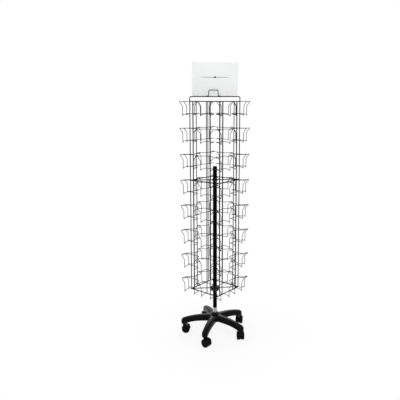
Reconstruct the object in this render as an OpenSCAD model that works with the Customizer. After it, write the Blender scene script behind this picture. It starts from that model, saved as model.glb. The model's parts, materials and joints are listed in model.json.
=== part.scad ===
// Revolving greeting card stand. A square wire column with card pockets on its four faces
// turns on a pole, which stands in a five-arm base on twin-wheel casters. A sign panel
// stands in a wire clip on top. Millimetres, +Z up, origin on the floor under the pole,
// column faces square to X and Y.

/* [Column] */
// Side of the square column, between the centres of the ring wire
column_side = 230; // [210:1:260]
// Height of the bottom ring above the floor
bottom_ring_z = 335; // [325:1:380]
// Thickness of the ring wire
ring_wire = 6; // [5:0.5:8]
// Thickness of the spokes that join the rings to the hubs
spoke_wire = 5; // [4:0.5:6]
// Thickness of the upright wires above the middle ring
upper_wire = 4; // [3:0.5:5]
// Thickness of the upright wires below the middle ring
lower_wire = 5; // [4:0.5:6]
// Place of the upright behind the first pocket, along its face
first_upright_s = 24.5; // [15:0.5:40]
// Place of the upright behind the second pocket, along its face
second_upright_s = 169; // [160:0.5:180]
// Place of the spare upright on the front and back faces
spare_upright_s = 140; // [135:0.5:150]
// Place of the spare upright on the side faces
side_spare_upright_s = 51; // [48:0.5:62]
// Place of the last upright on the side faces
side_last_upright_s = 200; // [195:0.5:205]

/* [Pockets] */
// Height from one tier to the next
tier_pitch = 171.5; // [150:0.5:200]
// Thickness of the pocket wire
pocket_wire = 3; // [2:0.1:3.5]
// Depth of a pocket, from the face's plane to the centres of its legs
pocket_depth = 48; // [40:0.5:60]
// Drop from a pocket's rim to its rail on the face
rail_drop = 78; // [65:0.5:90]
// Drop from the rail to the bottom of the hooks
hook_drop = 11; // [8:0.5:16]
// Height over which a leg leans sideways to its tip
lean_height = 29; // [20:0.5:40]
// Sideways lean of a leg's tip
lean = 27.5; // [15:0.5:30]
// How far the first pocket overhangs the corner
first_overhang = 21; // [12:0.5:30]
// Width of the first pocket, between its legs
first_pocket_w = 88.5; // [80:0.5:92]
// Place of the second pocket's first leg, along its face
second_pocket_s = 131; // [126:0.5:134]
// Width of the second pocket, between its legs
second_pocket_w = 78.5; // [70:0.5:84]

/* [Sign] */
// Width of the sign panel
sign_w = 297; // [200:1:320]
// Height of the sign panel
sign_h = 210; // [150:1:300]
// Thickness of the sign panel
sign_t = 3; // [2:0.5:5]
// Thickness of the hoop that carries the sign
hoop_wire = 5; // [4:0.5:6]
// Height of the hoop's bar above the top ring
hoop_rise = 31; // [20:1:60]
// Bend radius of the hoop's top corners
hoop_bend = 9; // [6:1:14]
// Thickness of the clip wire
clip_wire = 4; // [3:0.5:5]
// Height of the clip above the hoop's bar
clip_h = 41; // [30:1:60]
// Width of the clip at its feet
clip_foot_w = 64; // [50:1:90]
// Width of the clip at its top
clip_top_w = 59; // [45:1:60]
// Length of each welded foot of the clip
clip_foot = 17; // [8:1:24]
// Place of the clips along the hoop's bar, from its middle
clip_place = -10; // [-20:1:20]

/* [Pole and hubs] */
// Outer diameter of the pole
pole_d = 28; // [24:1:30]
// Wall of the pole
pole_wall = 1.5; // [1:0.1:2.5]
// Height of the pole above the middle ring
pole_above = 89.5; // [60:0.5:140]
// Height of the pole's foot above the floor
pole_foot_z = 189; // [180:1:220]
// Thickness of the pole's cap
cap_t = 3; // [2:0.5:6]
// Diameter of the lower hub
lower_hub_d = 60; // [56:1:80]
// Height of the lower hub
lower_hub_h = 12; // [10:1:24]
// Wall of the lower bush
lower_bush_wall = 4; // [2:0.5:6]
// Height of the upper hub
mid_hub_h = 16; // [12:1:30]
// Wall of the upper hub
mid_hub_wall = 1.6; // [1.2:0.1:4]
// Wall of the upper bush
mid_bush_wall = 1.2; // [1:0.1:4]
// Diameter of the stop collar under the lower hub
stop_d = 58; // [50:1:64]
// Height of the stop collar
stop_h = 10; // [8:1:14]
// Thickness of the thrust washer
washer_t = 2; // [1:0.5:4]
// Diameter of the stop collar's screw
stop_screw_d = 5; // [4:0.5:6]

/* [Base] */
// Radius of the circle through the caster stems
socket_r = 219.5; // [200:0.5:260]
// Direction of the first arm
first_arm_angle = 3.5; // [0:0.5:30]
// Radius of an arm's round tip
arm_tip_r = 20; // [18:0.5:24]
// Half the width of an arm at the hub
arm_root_w = 27; // [24:0.5:30]
// Height of the arms' tops at the hub
arm_top_z = 138.5; // [130:0.5:150]
// Drop of an arm's top from the hub to its socket
arm_drop = 28; // [20:0.5:34]
// Depth of an arm at the hub
arm_depth = 46; // [40:0.5:52]
// Wall over the hollow under an arm
arm_skin = 9; // [8:0.5:12]
// Side wall beside the hollow under an arm
arm_side = 6; // [5:0.5:8]
// Thickness of the ribs across the hollow
arm_rib = 4; // [3:0.5:6]
// Radius of the hub between the arms
hub_r = 43; // [40:1:48]
// Diameter of the boss on the hub
boss_d = 51; // [44:1:60]
// Height of the boss above the arms
boss_h = 12; // [6:1:20]
// Outer diameter of the steel sleeve in the hub
sleeve_d = 33; // [31:1:38]
// Height of the sleeve above the boss
sleeve_above = 3; // [1:0.5:6]
// Length of the spigot inside the pole
spigot_grip = 70; // [40:1:120]
// Diameter of the bolt under the hub
bolt_d = 8; // [6:1:10]

/* [Casters] */
// Diameter of a caster wheel
wheel_d = 56; // [50:1:60]
// Width of one wheel
wheel_w = 18; // [14:1:20]
// Gap between the twin wheels
wheel_gap = 13; // [12:0.5:16]
// Trail of the axle behind the stem
trail = 14; // [12:0.5:18]
// Thickness of the hood over the wheels
hood_t = 2; // [1.5:0.5:3]
// Gap between the wheels and the hood
hood_gap = 1; // [0.8:0.1:2]
// Diameter of the axle
axle_d = 6; // [5:0.5:8]
// Diameter of the stem
stem_d = 11; // [10:0.5:12]
// Length of the stem inside its socket
stem_grip = 35; // [28:1:40]
// Diameter of the stem's pivot inside the housing
pivot_d = 8; // [6:0.5:8.5]
// Length of the pivot
pivot_h = 13; // [10:0.5:15]

/* [Hidden] */

// Clearances: a running fit, the space left for a weld, and the space between bodies
fit_gap = 0.05;
weld_gap = 0.15;
run_gap = 0.3;

// A bent wire's straight lengths stop this far from each other at the bends
bend_gap = 0.05;

// Tiers on the whole column and above the middle ring
tiers = 8;
upper_tiers = 3;

half_side = column_side / 2;
ring_r = ring_wire / 2;
post_r = hoop_wire / 2;
wire_r = pocket_wire / 2;

// A six-sided wire's corners stand a little proud of the round wire that it stands for
wire_corner_r = wire_r * 1.05;

// The rails and rims of the pockets lie on the outside of the rings and uprights
rail_p = ring_r + weld_gap + wire_corner_r;

// The hoop's posts lie flush with the faces, and the ring's corners are bent to meet them
post_p = ring_r - post_r;
function hundredths(v) = round(100 * v) / 100;
post_diagonal = hundredths((half_side + post_p) * sqrt(2));
ring_corner = hundredths((ring_r + post_r + weld_gap - post_p * sqrt(2)) / (sqrt(2) - 1));
corner_centre = half_side - ring_corner;

// Heights, from the bottom ring up
function rim_z(tier) = bottom_ring_z + rail_drop + (tiers - tier) * tier_pitch;
top_ring_z = rim_z(1);
middle_lift = 1.5;
middle_ring_z = rim_z(upper_tiers + 1) + middle_lift;
hoop_z = top_ring_z + hoop_rise;
sign_foot_z = hoop_z + post_r + weld_gap;
pole_top_z = middle_ring_z + pole_above;

// Places of the pocket legs along a face, measured from the face's first corner
leg_1 = -first_overhang;
leg_2 = leg_1 + first_pocket_w;
leg_3 = second_pocket_s;
leg_4 = leg_3 + second_pocket_w;
tip_1 = leg_1 - lean;
tip_2 = leg_2 + lean;
tip_3 = leg_3 - lean;
tip_4 = leg_4 + lean;

// Where the rims leave the face for the tips, a little to one side of each leg
rim_outs = [leg_1, leg_2, leg_3, leg_4] + [-3, 5.5, -9, -14.5];

// The hook is a narrow V: its flat, and how far inwards and up its inner side runs
hook_flat = 0.64 * pocket_wire;
hook_run = 8;
hook_lift = 6.5;

// Sign clips: their wire, their distance from the sign's middle, and their feet on the hoop's bar
clip_corner_r = clip_wire / 2 * 1.05;
clip_n = sign_t / 2 + run_gap + clip_corner_r;
clip_reach = post_r + weld_gap + clip_corner_r;
clip_foot_z = hoop_z + sqrt(pow(clip_reach, 2) - pow(min(clip_n, clip_reach), 2));
clip_corner = 5;
clip_toe = 2;

// Pole, hubs and bushes
pole_r = pole_d / 2;
pole_bore_r = pole_r - pole_wall;
plug_r = pole_bore_r - fit_gap;
plug_h = 12;
bush_bore_r = pole_r + fit_gap;
lower_bush_r = bush_bore_r + lower_bush_wall;
lower_hub_bore_r = lower_bush_r + fit_gap;
lower_hub_r = lower_hub_d / 2;
spoke_r = spoke_wire / 2;
hub_drop = 1.5;
lower_hub_z = bottom_ring_z - spoke_r - hub_drop;
mid_bush_r = bush_bore_r + mid_bush_wall;
mid_hub_bore_r = mid_bush_r + fit_gap;
mid_hub_r = mid_hub_bore_r + mid_hub_wall;
mid_hub_z = middle_ring_z - mid_hub_h / 2;
washer_inset = 2;
washer_r = stop_d / 2 - washer_inset;
washer_z = lower_hub_z - run_gap - washer_t;
stop_z = washer_z - stop_h;
spoke_end = corner_centre * sqrt(2) + sqrt(pow(ring_corner - ring_r, 2) - pow(spoke_r, 2)) - weld_gap;

// Base: the hub's underside, its boss and the spigot in it
hub_bottom_z = arm_top_z - arm_depth;
boss_top_z = arm_top_z + boss_h;
spigot_r = pole_r - 0.2;
sleeve_bore_r = spigot_r + fit_gap;
sleeve_r = sleeve_d / 2;
bolt_r = bolt_d / 2;
bolt_head_h = 5;
bolt_head_r = sleeve_r - 2;
bolt_length = 30;

// Casters: the wheel's centre, the hood and the neck around the stem
wheel_r = wheel_d / 2;
axle_r = axle_d / 2;
stem_r = stem_d / 2;
pivot_r = pivot_d / 2;
hood_in_r = wheel_r + hood_gap;
hood_out_r = hood_in_r + hood_t;
hood_w = wheel_gap + 2 * wheel_w;
hood_start = 35;
hood_sweep = 125;
web_t = wheel_gap - 2;
web_r = hood_in_r - 4;
neck_r = stem_r + 4.5;
neck_top_z = wheel_r + hood_out_r + 2;
stem_collar_r = stem_r + 3;
stem_collar_t = 2.5;
socket_z = neck_top_z + stem_collar_t + run_gap;

// Wheel: its boss, the wall under its tread, its dished faces and its rounded edges
wheel_boss_r = axle_r + 6;
tread_t = 6;
inner_dish = 2.6;
outer_dish = 2.5;
inner_edge = 1.2;
outer_edge = 3.5;
hub_clearance = 0.4;

// Directions in which the casters trail, as the stand was left
trail_angles = [134.5, 119.5, 146.5, 32, 0];

// Arms: how their tops and undersides curve, their sections, and the hollows under them
arms = 5;
function arm_angle(i) = first_arm_angle + 360 / arms * (i - 1);
top_curve = 2.4;
arch_curve = 4.2;
crown_power = 0.75;
belly_power = 0.4;
tip_section_r = arm_tip_r + 0.5;
tip_droop = 0.8 * arm_tip_r;
arm_sides = 16;
arm_stations = [for (share = [0.14, 0.25, 0.39, 0.52, 0.64, 0.74, 0.83, 0.91, 0.97, 1]) share * socket_r,
  for (share = [0.4, 0.7, 0.9, 1]) socket_r + share * arm_tip_r];
hollow_start = hub_r + 6;
hollow_end = socket_r - stem_r - 9;
hollows = 3;
socket_lead = 10;

function unit(v) = v / norm(v);

// Point of a segment's line on the plane through p square to m, carried along d
function carried(q, p, d, m) = q + (((p - q) * m) / (d * m)) * d;

// Rings of a bent wire, each on the plane that halves its bend
function wire_rings(pts, dirs, i, ring) =
  i == len(pts) - 1
    ? [ring, [for (q = ring) carried(q, pts[i], dirs[i - 1], dirs[i - 1])]]
    : let (m = unit(dirs[i - 1] + dirs[i]), next = [for (q = ring) carried(q, pts[i], dirs[i - 1], m)])
      concat([ring], wire_rings(pts, dirs, i + 1, next));

function first_ring(p, d, r, n) =
  let (side = abs(d[2]) < 0.9 ? [0, 0, 1] : [1, 0, 0], a = unit(cross(d, side)), b = cross(d, a))
  [for (k = [0:n - 1]) p + r * (cos(360 * (k + 0.5) / n) * a + sin(360 * (k + 0.5) / n) * b)];

// A closed skin over rings of n points each
module skin(rings, n) {
  last = len(rings) - 1;
  points = [for (ring = rings) each ring];
  sides = [for (i = [0:last - 1], k = [0:n - 1])
    [i * n + k, i * n + (k + 1) % n, (i + 1) * n + (k + 1) % n, (i + 1) * n + k]];
  start_cap = [for (k = [n - 1:-1:0]) k];
  end_cap = [for (k = [0:n - 1]) last * n + k];
  polyhedron(points = points, faces = concat(sides, [start_cap, end_cap]), convexity = 6);
}

// A bent wire along its points, as straight lengths that all but meet at the bends
module bent_wire(pts, r, n = 6) {
  last = len(pts) - 2;
  dirs = [for (i = [0:last]) unit(pts[i + 1] - pts[i])];
  rings = wire_rings(pts, dirs, 1, first_ring(pts[0], dirs[0], r, n));
  for (i = [0:last]) {
    head = i == 0 ? 0 : bend_gap / 2;
    tail = i == last ? 0 : bend_gap / 2;
    skin([[for (q = rings[i]) q + head * dirs[i]], [for (q = rings[i + 1]) q - tail * dirs[i]]], n);
  }
}

// Frame of one face: +X runs along it from its first corner, -Y points out of it
module on_face(face) {
  rotate(90 * face) translate([-half_side, -half_side, 0]) children();
}

// Point of a pocket: s along the face, p out of the face, z from the rim
function at(s, p, z) = [s, -p, z];

// The same point of the next face and of the last one, in this face's frame
function at_next(s, p, z) = [column_side + p, s, z];
function at_last(s, p, z) = [-p, column_side - s, z];

// From a rail's end out along the pocket's floor, round the hook and up the leg to its tip
function hooked_leg(leg, tip) = [
  at(leg, rail_p, -rail_drop),
  at(leg, pocket_depth - hook_run, hook_lift - rail_drop - hook_drop),
  at(leg, pocket_depth - hook_flat, -rail_drop - hook_drop),
  at(leg, pocket_depth, hook_flat - rail_drop - hook_drop),
  at(leg, pocket_depth, -lean_height),
  at(tip, pocket_depth, 0)
];

function reversed(list) = [for (i = [len(list) - 1:-1:0]) list[i]];

// A point of the next face's list, given in this face's frame
function turned(list) = [for (q = list) at_next(q[0], -q[1], q[2])];

// Wire between the two pockets of a face, from one upright to the other
module face_saddle() {
  start = at(first_upright_s + weld_gap / 2, rail_p, -rail_drop);
  end = at(second_upright_s - weld_gap / 2, rail_p, -rail_drop);
  path = concat([start], hooked_leg(leg_2, tip_2), reversed(hooked_leg(leg_3, tip_3)), [end]);
  bent_wire(path, wire_corner_r);
}

// Wire round a corner, from one face's second upright to the next face's first
module corner_saddle() {
  start = at(second_upright_s + weld_gap / 2, rail_p, -rail_drop);
  end = at_next(first_upright_s - weld_gap / 2, rail_p, -rail_drop);
  path = concat([start], hooked_leg(leg_4, tip_4), turned(reversed(hooked_leg(leg_1, tip_1))), [end]);
  bent_wire(path, wire_corner_r);
}

// How far from a bend a wire along d has to stop to lie beside the wire that leaves along u
function clear_of(d, u) = (2 * wire_corner_r + weld_gap) / (d * u > 0 ? norm(cross(d, u)) : 1);

// End of a rim wire that leaves its bend for a tip, beside the leg and the bar that meet there
function rim_end(bend, tip_s, leg_s, bar_end) =
  let (
    tip = at(tip_s, pocket_depth, 0),
    d = unit(bend - tip),
    leg_way = unit(at(leg_s, pocket_depth, -lean_height) - tip),
    bar_way = unit(bar_end - tip)
  )
  tip + max(clear_of(d, leg_way), clear_of(d, bar_way)) * d;

// Rim wire of the first pocket of a face, welded to the face and to both tips
module first_rim() {
  a = at(rim_outs[0], rail_p, 0);
  b = at(rim_outs[1], rail_p, 0);
  start = rim_end(a, tip_1, leg_1, at_last(tip_4, pocket_depth, 0));
  end = rim_end(b, tip_2, leg_2, at(tip_3, pocket_depth, 0));
  bent_wire([start, a, b, end], wire_corner_r);
}

// Rim wire of the second pocket
module second_rim() {
  a = at(rim_outs[2], rail_p, 0);
  b = at(rim_outs[3], rail_p, 0);
  start = rim_end(a, tip_3, leg_3, at(tip_2, pocket_depth, 0));
  end = rim_end(b, tip_4, leg_4, at_next(tip_1, pocket_depth, 0));
  bent_wire([start, a, b, end], wire_corner_r);
}

// Eight pockets round one tier
module tier_pockets(tier) {
  color("#1b1b1d")
    translate([0, 0, rim_z(tier)])
      for (face = [0:3]) on_face(face) {
        face_saddle();
        corner_saddle();
        first_rim();
        second_rim();
      }
}

// A square ring of round wire with bent corners
module square_ring(z) {
  translate([0, 0, z])
    for (face = [0:3]) rotate(90 * face) {
      translate([-corner_centre, -half_side, 0])
        rotate([0, 90, 0]) cylinder(h = 2 * corner_centre, r = ring_r, $fn = 32);
      translate([corner_centre, -corner_centre, 0]) rotate(-90)
        rotate_extrude(angle = 90, $fn = 96) translate([ring_corner, 0]) circle(r = ring_r, $fn = 32);
    }
}

module bottom_ring() { color("#161618") square_ring(bottom_ring_z); }
module middle_ring() { color("#161618") square_ring(middle_ring_z); }
module top_ring() { color("#161618") square_ring(top_ring_z); }

// Four spokes along the diagonals, from a hub to the corners of a ring
module spokes(z, from_r) {
  start = from_r + weld_gap;
  for (face = [0:3])
    rotate(45 + 90 * face) translate([start, 0, z])
      rotate([0, 90, 0]) cylinder(h = spoke_end - start, r = spoke_r, $fn = 32);
}

module bottom_spokes() { color("#161618") spokes(bottom_ring_z, lower_hub_r); }
module mid_spokes() { color("#161618") spokes(middle_ring_z, mid_hub_r); }

// Upright wires between two rings, flush with the rings' outside
module uprights(low_z, high_z, wire) {
  start = low_z + ring_r + weld_gap;
  end = high_z - ring_r - weld_gap;
  for (face = [0:3]) on_face(face) {
    spares = face % 2 == 0 ? [spare_upright_s] : [side_spare_upright_s, side_last_upright_s];
    for (s = concat([first_upright_s, second_upright_s], spares))
      translate([s, wire / 2 - ring_r, start]) cylinder(h = end - start, d = wire, $fn = 32);
  }
}

module upper_uprights() { color("#1b1b1d") uprights(middle_ring_z, top_ring_z, upper_wire); }
module lower_uprights() { color("#1b1b1d") uprights(bottom_ring_z, middle_ring_z, lower_wire); }

// Hoop over two opposite corners: its posts run down to the bottom ring
module sign_hoop() {
  post_z = bottom_ring_z - ring_r;
  post_h = hoop_z - hoop_bend - post_z;
  bar_end = post_diagonal - hoop_bend;
  color("#1b1b1d")
    rotate(45) {
      for (side = [-1, 1])
        translate([side * post_diagonal, 0, post_z]) cylinder(h = post_h, r = post_r, $fn = 32);
      for (turn = [0, 180])
        rotate(turn) translate([bar_end, 0, hoop_z - hoop_bend]) rotate([90, 0, 0])
          rotate_extrude(angle = 90, $fn = 96) translate([hoop_bend, 0]) circle(r = post_r, $fn = 32);
      translate([-bar_end, 0, hoop_z]) rotate([0, 90, 0]) cylinder(h = 2 * bar_end, r = post_r, $fn = 32);
    }
}

// Two wire clips on the hoop's bar, before and behind the sign
module sign_clips() {
  foot_u = clip_foot_w / 2;
  top_u = clip_top_w / 2;
  top_z = hoop_z + clip_h;
  half_clip = [
    [foot_u + clip_foot, clip_n, clip_foot_z],
    [foot_u + clip_toe, clip_n, clip_foot_z],
    [foot_u, clip_n, clip_foot_z + clip_toe],
    [top_u, clip_n, top_z - clip_corner],
    [top_u - 0.3 * clip_corner, clip_n, top_z - 0.3 * clip_corner],
    [top_u - clip_corner, clip_n, top_z]
  ];
  other_half = [for (q = reversed(half_clip)) [-q[0], q[1], q[2]]];
  color("#1b1b1d")
    for (side = [0, 180])
      rotate(45) translate([clip_place, 0, 0]) rotate(side)
        bent_wire(concat(half_clip, other_half), clip_corner_r, 8);
}

module sign_panel() {
  color("#eeeeef")
    rotate(45) translate([-sign_w / 2, -sign_t / 2, sign_foot_z]) cube([sign_w, sign_t, sign_h]);
}

// A plain ring: pole, sleeve, washer, hub or bush
module sleeve(z, h, outer_r, inner_r) {
  difference() {
    translate([0, 0, z]) cylinder(h = h, r = outer_r, $fn = 64);
    translate([0, 0, z - 1]) cylinder(h = h + 2, r = inner_r, $fn = 64);
  }
}

// Pole with a plug cap, standing on the shoulder of the spigot
module centre_pole() {
  start = pole_foot_z + weld_gap;
  color("#101012") sleeve(start, pole_top_z - start, pole_r, pole_bore_r);
}

module pole_cap() {
  color("#101012") {
    translate([0, 0, pole_top_z + fit_gap]) cylinder(h = cap_t, r = pole_r, $fn = 64);
    translate([0, 0, pole_top_z - plug_h]) cylinder(h = plug_h + cap_t, r = plug_r, $fn = 64);
  }
}

module spigot() {
  color("#d8d8dc")
    difference() {
      union() {
        translate([0, 0, hub_bottom_z]) cylinder(h = pole_foot_z - hub_bottom_z, r = spigot_r, $fn = 64);
        translate([0, 0, pole_foot_z - 1]) cylinder(h = spigot_grip + 1, r = plug_r, $fn = 64);
      }
      translate([0, 0, hub_bottom_z - 1]) cylinder(h = bolt_length + 3, r = bolt_r + fit_gap, $fn = 48);
    }
}

module spigot_bolt() {
  seat_z = hub_bottom_z - weld_gap;
  color("#b4b6ba") {
    translate([0, 0, seat_z - bolt_head_h]) cylinder(h = bolt_head_h, r = bolt_head_r, $fn = 6);
    translate([0, 0, seat_z - 1]) cylinder(h = bolt_length, r = bolt_r, $fn = 48);
  }
}

module hub_sleeve() {
  color("#2a2a2d") sleeve(hub_bottom_z, boss_top_z + sleeve_above - hub_bottom_z, sleeve_r, sleeve_bore_r);
}

// Stop collar clamped to the pole, with its screw and the washer that the column turns on
module along_screw() { rotate(-45) translate([0, 0, stop_z + stop_h / 2]) rotate([0, 90, 0]) children(); }

module stop_collar() {
  color("#1d1d1f")
    difference() {
      translate([0, 0, stop_z]) cylinder(h = stop_h, d = stop_d, $fn = 64);
      translate([0, 0, stop_z - 1]) cylinder(h = stop_h + 2, r = bush_bore_r, $fn = 64);
      along_screw() cylinder(h = stop_d, r = stop_screw_d / 2 + fit_gap, $fn = 32);
    }
}

module collar_screw() {
  start = bush_bore_r + fit_gap;
  color("#b4b6ba")
    along_screw() translate([0, 0, start]) cylinder(h = stop_d / 2 - start - 1, d = stop_screw_d, $fn = 32);
}

module thrust_washer() { color("#e6e4dc") sleeve(washer_z, washer_t, washer_r, bush_bore_r); }
module lower_hub() { color("#161618") sleeve(lower_hub_z, lower_hub_h, lower_hub_r, lower_hub_bore_r); }
module lower_bush() { color("#2e2e30") sleeve(lower_hub_z, lower_hub_h + 1, lower_bush_r, bush_bore_r); }
module mid_hub() { color("#161618") sleeve(mid_hub_z, mid_hub_h, mid_hub_r, mid_hub_bore_r); }
module mid_bush() { color("#2e2e30") sleeve(mid_hub_z - 1, mid_hub_h + 2, mid_bush_r, bush_bore_r); }

// Arm of the base along +X. Its top sinks and its underside arches from hub to socket
function round_off(x) = 1 - sqrt(1 - pow((x - socket_r) / tip_section_r, 2));
function arm_top(x) =
  arm_top_z - arm_drop * pow(x / socket_r, top_curve) - (x > socket_r ? tip_droop * round_off(x) : 0);
function arm_bottom(x) =
  hub_bottom_z - (hub_bottom_z - socket_z) * pow(min(x, socket_r) / socket_r, arch_curve);
function arm_half(x) = x > socket_r
  ? sqrt(pow(tip_section_r, 2) - pow(x - socket_r, 2))
  : arm_root_w + (arm_tip_r - arm_root_w) * x / socket_r;

// One section of an arm: round above, squarer below
function signed_pow(v, e) = sign(v) * pow(abs(v), e);
function arm_section(x) =
  let (top = arm_top(x), bottom = arm_bottom(x), mid = (top + bottom) / 2, half = arm_half(x))
  [for (k = [0:arm_sides - 1])
    let (t = -360 * k / arm_sides, e = sin(t) > 0 ? crown_power : belly_power)
    [x, half * signed_pow(cos(t), e), mid + (top - mid) * signed_pow(sin(t), e)]];

// One section of a hollow under an arm
function hollow_section(x) =
  let (top = arm_top(x) - arm_skin, half = arm_half(x) - arm_side, low = socket_z - socket_lead)
  [[x, half, low], [x, -half, low], [x, -half, top], [x, half, top]];

// Frame of one arm, along +X
module on_arm(i) { rotate(arm_angle(i)) children(); }

module star_base() {
  bay = (hollow_end - hollow_start + arm_rib) / hollows;
  hollow_w = bay - arm_rib;
  color("#1c1c1f")
    difference() {
      union() {
        for (i = [1:arms]) on_arm(i) skin([for (x = arm_stations) arm_section(x)], arm_sides);
        translate([0, 0, hub_bottom_z]) cylinder(h = arm_depth, r = hub_r, $fn = 96);
        translate([0, 0, arm_top_z - 1]) cylinder(h = boss_h + 1, d = boss_d, $fn = 96);
      }
      for (i = [1:arms], n = [0:hollows - 1]) {
        start = hollow_start + n * bay;
        on_arm(i) skin([for (x = [start, start + hollow_w / 2, start + hollow_w]) hollow_section(x)], 4);
      }
      for (i = [1:arms])
        on_arm(i) translate([socket_r, 0, socket_z - socket_lead])
          cylinder(h = socket_lead + stem_grip + 1, r = stem_r + fit_gap, $fn = 96);
      translate([0, 0, hub_bottom_z - 1])
        cylinder(h = arm_depth + boss_h + 2, r = sleeve_r + fit_gap, $fn = 96);
    }
}

// Frame of one caster: its stem on the Z axis, its wheels trailing along +X
module at_caster(i) {
  on_arm(i) translate([socket_r, 0, 0]) rotate(trail_angles[i - 1] - arm_angle(i)) children();
}

module about_axle() { translate([trail, 0, wheel_r]) rotate([90, 0, 0]) children(); }

// A curved band over the wheels, square in section
module hood_band(inner_r, outer_r, w) {
  about_axle() rotate(hood_start) rotate_extrude(angle = hood_sweep, $fn = 96)
    translate([inner_r, -w / 2]) square([outer_r - inner_r, w]);
}

// Web between the wheels, hood over them and neck around the stem
module caster_housing(i) {
  neck_start_z = wheel_r + hood_in_r - hood_t;
  color("#141416")
    at_caster(i)
      difference() {
        union() {
          about_axle() translate([0, 0, -web_t / 2]) cylinder(h = web_t, r = web_r, $fn = 64);
          hood_band(hood_in_r, hood_out_r, hood_w);
          hood_band(wheel_r / 2, hood_out_r - hood_t / 4, web_t);
          translate([0, 0, neck_start_z]) cylinder(h = neck_top_z - neck_start_z, r = neck_r, $fn = 64);
        }
        about_axle() translate([0, 0, -hood_w]) cylinder(h = 2 * hood_w, r = axle_r + fit_gap, $fn = 48);
        translate([0, 0, neck_top_z - pivot_h - 1])
          cylinder(h = pivot_h + 2, r = pivot_r + fit_gap, $fn = 64);
      }
}

module caster_stem(i) {
  color("#b4b6ba")
    at_caster(i) {
      translate([0, 0, neck_top_z - pivot_h]) cylinder(h = pivot_h + 1, r = pivot_r, $fn = 64);
      translate([0, 0, neck_top_z + fit_gap]) cylinder(h = stem_collar_t, r = stem_collar_r, $fn = 64);
      translate([0, 0, neck_top_z + 1])
        cylinder(h = socket_z + stem_grip - neck_top_z - 1, r = stem_r, $fn = 64);
    }
}

module caster_axle(i) {
  half_w = hood_w / 2 - 2;
  color("#b4b6ba")
    at_caster(i) about_axle() translate([0, 0, -half_w]) cylinder(h = 2 * half_w, r = axle_r, $fn = 48);
}

// Half profile of a wheel: bore, dished faces and rounded tread
module wheel(i, side) {
  bore_r = axle_r + fit_gap;
  rim_r = wheel_r - tread_t;
  color("#1a1a1c")
    at_caster(i) about_axle() rotate([side > 0 ? 0 : 180, 0, 0]) translate([0, 0, wheel_gap / 2])
      rotate_extrude($fn = 96)
        polygon([
          [bore_r, hub_clearance], [wheel_boss_r, hub_clearance],
          [wheel_boss_r, hub_clearance + inner_dish], [rim_r, hub_clearance + inner_dish],
          [rim_r, hub_clearance], [wheel_r - inner_edge, hub_clearance],
          [wheel_r, hub_clearance + inner_edge], [wheel_r, wheel_w - outer_edge],
          [wheel_r - 0.3 * outer_edge, wheel_w - 0.3 * outer_edge], [wheel_r - outer_edge, wheel_w],
          [rim_r, wheel_w], [rim_r - 2, wheel_w - outer_dish],
          [wheel_boss_r + 2, wheel_w - outer_dish], [wheel_boss_r, wheel_w], [bore_r, wheel_w]
        ]);
}

star_base();
hub_sleeve();
spigot();
spigot_bolt();
centre_pole();
pole_cap();
stop_collar();
collar_screw();
thrust_washer();
lower_hub();
lower_bush();
bottom_spokes();
bottom_ring();
mid_hub();
mid_bush();
mid_spokes();
middle_ring();
top_ring();
upper_uprights();
lower_uprights();
sign_hoop();
sign_clips();
tier_pockets(1);  // tier_1_pockets
tier_pockets(2);  // tier_2_pockets
tier_pockets(3);  // tier_3_pockets
tier_pockets(4);  // tier_4_pockets
tier_pockets(5);  // tier_5_pockets
tier_pockets(6);  // tier_6_pockets
tier_pockets(7);  // tier_7_pockets
tier_pockets(8);  // tier_8_pockets
sign_panel();
caster_housing(1);  // caster_1_housing
caster_stem(1);  // caster_1_stem
caster_axle(1);  // caster_1_axle
wheel(1, 1);  // caster_1_left_wheel
wheel(1, -1);  // caster_1_right_wheel
caster_housing(2);  // caster_2_housing
caster_stem(2);  // caster_2_stem
caster_axle(2);  // caster_2_axle
wheel(2, 1);  // caster_2_left_wheel
wheel(2, -1);  // caster_2_right_wheel
caster_housing(3);  // caster_3_housing
caster_stem(3);  // caster_3_stem
caster_axle(3);  // caster_3_axle
wheel(3, 1);  // caster_3_left_wheel
wheel(3, -1);  // caster_3_right_wheel
caster_housing(4);  // caster_4_housing
caster_stem(4);  // caster_4_stem
caster_axle(4);  // caster_4_axle
wheel(4, 1);  // caster_4_left_wheel
wheel(4, -1);  // caster_4_right_wheel
caster_housing(5);  // caster_5_housing
caster_stem(5);  // caster_5_stem
caster_axle(5);  // caster_5_axle
wheel(5, 1);  // caster_5_left_wheel
wheel(5, -1);  // caster_5_right_wheel
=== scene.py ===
"""Revolving greeting card stand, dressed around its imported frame.

Each sub-assembly is a class that holds its sizes and builds its meshes from numpy surfaces. A
wire is a circle carried along a bent path, turned parts are profiles carried round an axis, and
the star base is the level surface of a field in which five arm outlines flow into one another.
The stand's sizes are in millimetres; the finishes and the studio are in metres.
"""

from __future__ import annotations

import json
import logging
import math
from dataclasses import dataclass, field
from enum import Enum
from functools import cached_property
from typing import Callable, Iterable, Sequence

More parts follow.
